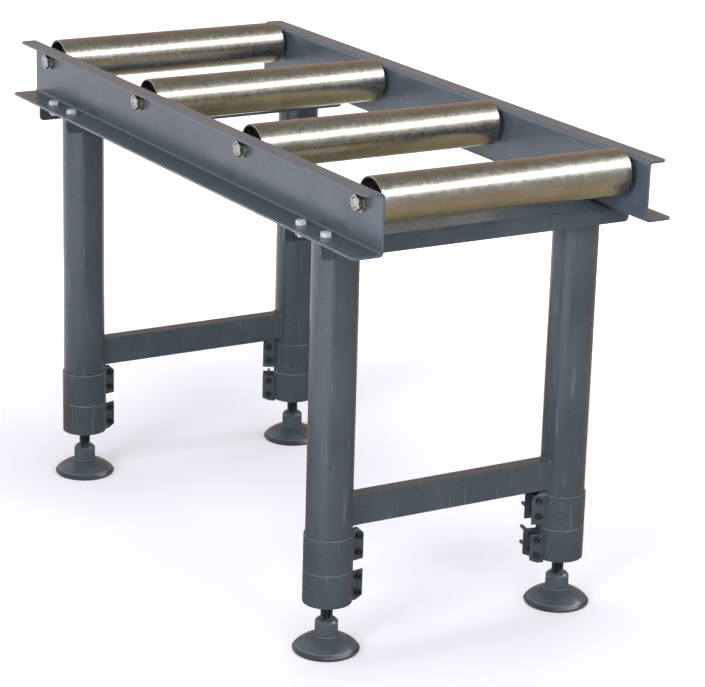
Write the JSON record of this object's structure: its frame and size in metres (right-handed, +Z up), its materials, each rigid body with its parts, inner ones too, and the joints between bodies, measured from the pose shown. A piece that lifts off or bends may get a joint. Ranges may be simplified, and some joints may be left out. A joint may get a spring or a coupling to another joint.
{
  "type": "material support stand",
  "caption": "Short gravity roller table with folded side rails, steel rollers and telescopic legs on levelling feet, for supporting bar stock and workpieces.",
  "frame": {"origin": "on the floor under the middle of the table, with the legs pushed in", "axes": "+X along the roller axles to the right-hand rail, +Y along the rails to the far end, +Z up"},
  "size_m": [0.461, 1, 0.642],
  "materials": {
    "grey_paint": "slate grey gloss paint on steel",
    "chromated_zinc": "yellow-chromated zinc plate on turned steel tube",
    "bright_zinc": "bright zinc plate",
    "bare_steel": "drawn and ground steel",
    "black_oxide": "blackened steel",
    "cast_foot": "cast iron under dark grey paint"
  },
  "bodies": {
    "frame": {"rail_left": "grey_paint", "rail_right": "grey_paint", "crossbar_near": "grey_paint", "crossbar_far": "grey_paint", "stretcher_near": "grey_paint", "stretcher_far": "grey_paint", "frame_bolts": "bright_zinc", "frame_nuts": "bright_zinc", "axle_nuts": "bright_zinc", "axle_washers": "bright_zinc", "bearing_inner_rings": "bare_steel", "clamp_nuts": "black_oxide", "axle_1": "bare_steel", "axle_2": "bare_steel", "axle_3": "bare_steel", "axle_4": "bare_steel", "leg_near_left": "grey_paint", "leg_near_right": "grey_paint", "leg_far_left": "grey_paint", "leg_far_right": "grey_paint", "clamp_sleeve_near_left": "grey_paint", "clamp_sleeve_near_right": "grey_paint", "clamp_sleeve_far_left": "grey_paint", "clamp_sleeve_far_right": "grey_paint", "clamp_bolts_near_left": "black_oxide", "clamp_bolts_near_right": "black_oxide", "clamp_bolts_far_left": "black_oxide", "clamp_bolts_far_right": "black_oxide"},
    "roller_1": {"roller_tube_1": "chromated_zinc", "bearing_housings_1": "bright_zinc", "ball_bearings_1": "bare_steel"},
    "roller_2": {"roller_tube_2": "chromated_zinc", "bearing_housings_2": "bright_zinc", "ball_bearings_2": "bare_steel"},
    "roller_3": {"roller_tube_3": "chromated_zinc", "bearing_housings_3": "bright_zinc", "ball_bearings_3": "bare_steel"},
    "roller_4": {"roller_tube_4": "chromated_zinc", "bearing_housings_4": "bright_zinc", "ball_bearings_4": "bare_steel"},
    "inner_leg_near_left": {"inner_tube_near_left": "bare_steel", "thread_plug_near_left": "bare_steel"},
    "foot_near_left": {"foot_near_left": "cast_foot"},
    "spindle_near_left": {"spindle_near_left": "black_oxide"},
    "inner_leg_near_right": {"inner_tube_near_right": "bare_steel", "thread_plug_near_right": "bare_steel"},
    "foot_near_right": {"foot_near_right": "cast_foot"},
    "spindle_near_right": {"spindle_near_right": "black_oxide"},
    "inner_leg_far_left": {"inner_tube_far_left": "bare_steel", "thread_plug_far_left": "bare_steel"},
    "foot_far_left": {"foot_far_left": "cast_foot"},
    "spindle_far_left": {"spindle_far_left": "black_oxide"},
    "inner_leg_far_right": {"inner_tube_far_right": "bare_steel", "thread_plug_far_right": "bare_steel"},
    "foot_far_right": {"foot_far_right": "cast_foot"},
    "spindle_far_right": {"spindle_far_right": "black_oxide"}
  },
  "joints": [
    {"name": "roller_1_spin", "type": "hinge", "parent": "frame", "child": "roller_1", "pos_m": [0, -0.45, 0.612], "axis": [1, 0, 0], "continuous": true},
    {"name": "roller_2_spin", "type": "hinge", "parent": "frame", "child": "roller_2", "pos_m": [0, -0.15, 0.612], "axis": [1, 0, 0], "continuous": true},
    {"name": "roller_3_spin", "type": "hinge", "parent": "frame", "child": "roller_3", "pos_m": [0, 0.15, 0.612], "axis": [1, 0, 0], "continuous": true},
    {"name": "roller_4_spin", "type": "hinge", "parent": "frame", "child": "roller_4", "pos_m": [0, 0.45, 0.612], "axis": [1, 0, 0], "continuous": true},
    {"name": "leg_near_left_extend", "type": "slide", "parent": "frame", "child": "inner_leg_near_left", "axis": [0, 0, -1], "range_m": [0, 0.3]},
    {"name": "foot_near_left_travel", "type": "slide", "parent": "inner_leg_near_left", "child": "foot_near_left", "axis": [0, 0, -1], "range_m": [-0.02, 0.04]},
    {"name": "spindle_near_left_turn", "type": "hinge", "parent": "foot_near_left", "child": "spindle_near_left", "pos_m": [-0.178, -0.368, 0.011], "axis": [0, 0, -1], "range_deg": [-3600, 7200]},
    {"name": "leg_near_right_extend", "type": "slide", "parent": "frame", "child": "inner_leg_near_right", "axis": [0, 0, -1], "range_m": [0, 0.3]},
    {"name": "foot_near_right_travel", "type": "slide", "parent": "inner_leg_near_right", "child": "foot_near_right", "axis": [0, 0, -1], "range_m": [-0.02, 0.04]},
    {"name": "spindle_near_right_turn", "type": "hinge", "parent": "foot_near_right", "child": "spindle_near_right", "pos_m": [0.178, -0.368, 0.011], "axis": [0, 0, -1], "range_deg": [-3600, 7200]},
    {"name": "leg_far_left_extend", "type": "slide", "parent": "frame", "child": "inner_leg_far_left", "axis": [0, 0, -1], "range_m": [0, 0.3]},
    {"name": "foot_far_left_travel", "type": "slide", "parent": "inner_leg_far_left", "child": "foot_far_left", "axis": [0, 0, -1], "range_m": [-0.02, 0.04]},
    {"name": "spindle_far_left_turn", "type": "hinge", "parent": "foot_far_left", "child": "spindle_far_left", "pos_m": [-0.178, 0.368, 0.011], "axis": [0, 0, -1], "range_deg": [-3600, 7200]},
    {"name": "leg_far_right_extend", "type": "slide", "parent": "frame", "child": "inner_leg_far_right", "axis": [0, 0, -1], "range_m": [0, 0.3]},
    {"name": "foot_far_right_travel", "type": "slide", "parent": "inner_leg_far_right", "child": "foot_far_right", "axis": [0, 0, -1], "range_m": [-0.02, 0.04]},
    {"name": "spindle_far_right_turn", "type": "hinge", "parent": "foot_far_right", "child": "spindle_far_right", "pos_m": [0.178, 0.368, 0.011], "axis": [0, 0, -1], "range_deg": [-3600, 7200]}
  ],
  "couplings": [
    {"joint": "spindle_near_left_turn", "follows": "foot_near_left_travel", "rad_per_m": 3141.6},
    {"joint": "spindle_near_right_turn", "follows": "foot_near_right_travel", "rad_per_m": 3141.6},
    {"joint": "spindle_far_left_turn", "follows": "foot_far_left_travel", "rad_per_m": 3141.6},
    {"joint": "spindle_far_right_turn", "follows": "foot_far_right_travel", "rad_per_m": 3141.6}
  ]
}
